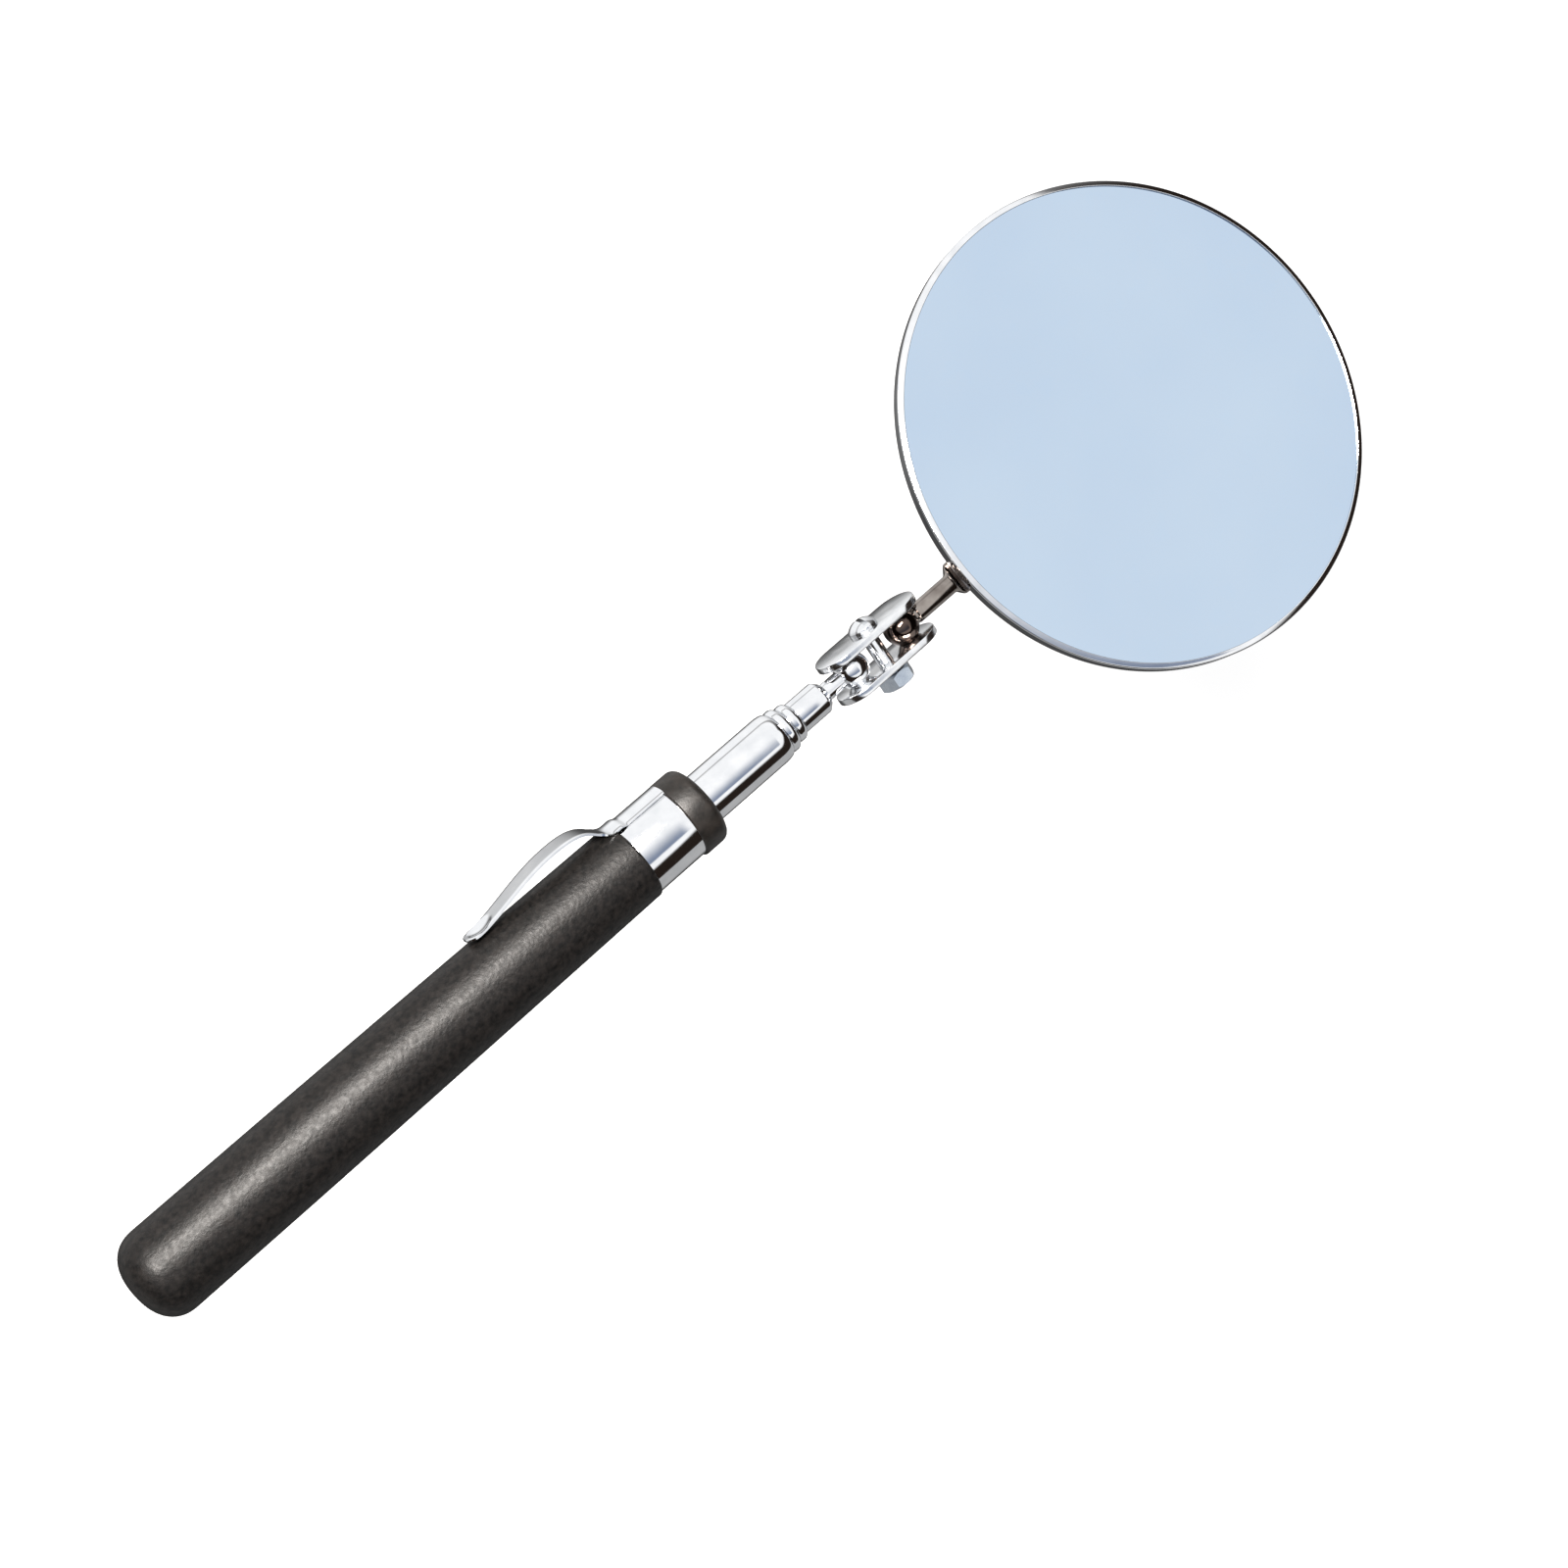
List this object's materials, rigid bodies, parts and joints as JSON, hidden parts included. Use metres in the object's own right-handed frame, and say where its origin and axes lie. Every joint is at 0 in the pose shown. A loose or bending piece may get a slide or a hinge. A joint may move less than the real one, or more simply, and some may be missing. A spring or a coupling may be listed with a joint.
{
  "type": "telescoping inspection mirror",
  "caption": "Hand-held round mirror on a telescoping chrome rod, with a double ball link that tilts and swivels, a dipped grip and a pocket clip.",
  "frame": {"origin": "under the centre of the bounding box, level with the underside of the grip", "axes": "+X along the rod from the grip to the mirror, +Z out of the mirror's glass, +Y towards the pocket clip"},
  "size_m": [0.2468, 0.083, 0.014],
  "materials": {
    "vinyl": "satin, dipped",
    "collar_black": "satin",
    "chrome": "bright plated",
    "zinc_steel": "zinc plated",
    "plain_steel": "drawn tube",
    "brass": "plain",
    "bushing_plastic": "moulded",
    "plug_plastic": "moulded",
    "pad_foam": "thin foam",
    "silvered_glass": "polished"
  },
  "bodies": {
    "handle": {"grip_sleeve": "vinyl", "handle_tube": "plain_steel", "end_plug": "plug_plastic", "rear_bushing": "bushing_plastic", "front_bushing": "bushing_plastic", "clip_sleeve": "chrome", "collar_ring": "collar_black", "clip_strap": "chrome", "section_1": "chrome"},
    "clip": {"clip_arm": "chrome"},
    "rod_2": {"section_2": "chrome", "shim_2": "brass"},
    "rod_3": {"section_3": "chrome", "shim_3": "brass"},
    "rod_4": {"section_4": "chrome", "shim_4": "brass", "tip_stop_plug": "brass"},
    "stud": {"rod_ball_stud": "chrome"},
    "link": {"plate_upper": "chrome", "plate_lower": "chrome", "clamp_screw": "zinc_steel", "lock_washer": "zinc_steel"},
    "nut": {"clamp_nut": "zinc_steel"},
    "ball": {"mirror_ball": "chrome"},
    "mirror": {"mirror_stem": "chrome", "stem_rivets": "zinc_steel", "mirror_frame": "chrome", "back_plate": "plain_steel", "backing_pad": "pad_foam", "mirror_glass": "silvered_glass"}
  },
  "joints": [
    {"name": "rod_2_slide", "type": "slide", "parent": "handle", "child": "rod_2", "axis": [1, 0, 0], "range_m": [0, 0.088]},
    {"name": "rod_3_slide", "type": "slide", "parent": "rod_2", "child": "rod_3", "axis": [1, 0, 0], "range_m": [0, 0.088]},
    {"name": "rod_4_slide", "type": "slide", "parent": "rod_3", "child": "rod_4", "axis": [1, 0, 0], "range_m": [0, 0.088]},
    {"name": "rod_swivel", "type": "hinge", "parent": "rod_4", "child": "stud", "pos_m": [0.016, 0, 0.007], "axis": [1, 0, 0], "continuous": true},
    {"name": "rod_ball_tilt", "type": "hinge", "parent": "stud", "child": "link", "pos_m": [0.016, 0, 0.007], "axis": [0, 0.9659, 0.2588], "range_deg": [-85, 85]},
    {"name": "mirror_ball_tilt", "type": "hinge", "parent": "link", "child": "ball", "pos_m": [0.027, 0, 0.007], "axis": [0, -0.9659, -0.2588], "range_deg": [-85, 85]},
    {"name": "mirror_swivel", "type": "hinge", "parent": "ball", "child": "mirror", "pos_m": [0.027, 0, 0.007], "axis": [1, 0, 0], "continuous": true},
    {"name": "clamp_nut_turn", "type": "hinge", "parent": "link", "child": "nut", "pos_m": [0.0215, 0, 0.007], "axis": [0, 0.9659, 0.2588], "range_deg": [-90, 90]},
    {"name": "clip_flex", "type": "hinge", "parent": "handle", "child": "clip", "pos_m": [-0.03155, 0.00664, 0.00916], "axis": [0, 0.309, -0.9511], "range_deg": [0, 6], "stiffness_Nm_per_rad": 0.2, "springref_deg": -5.73}
  ]
}
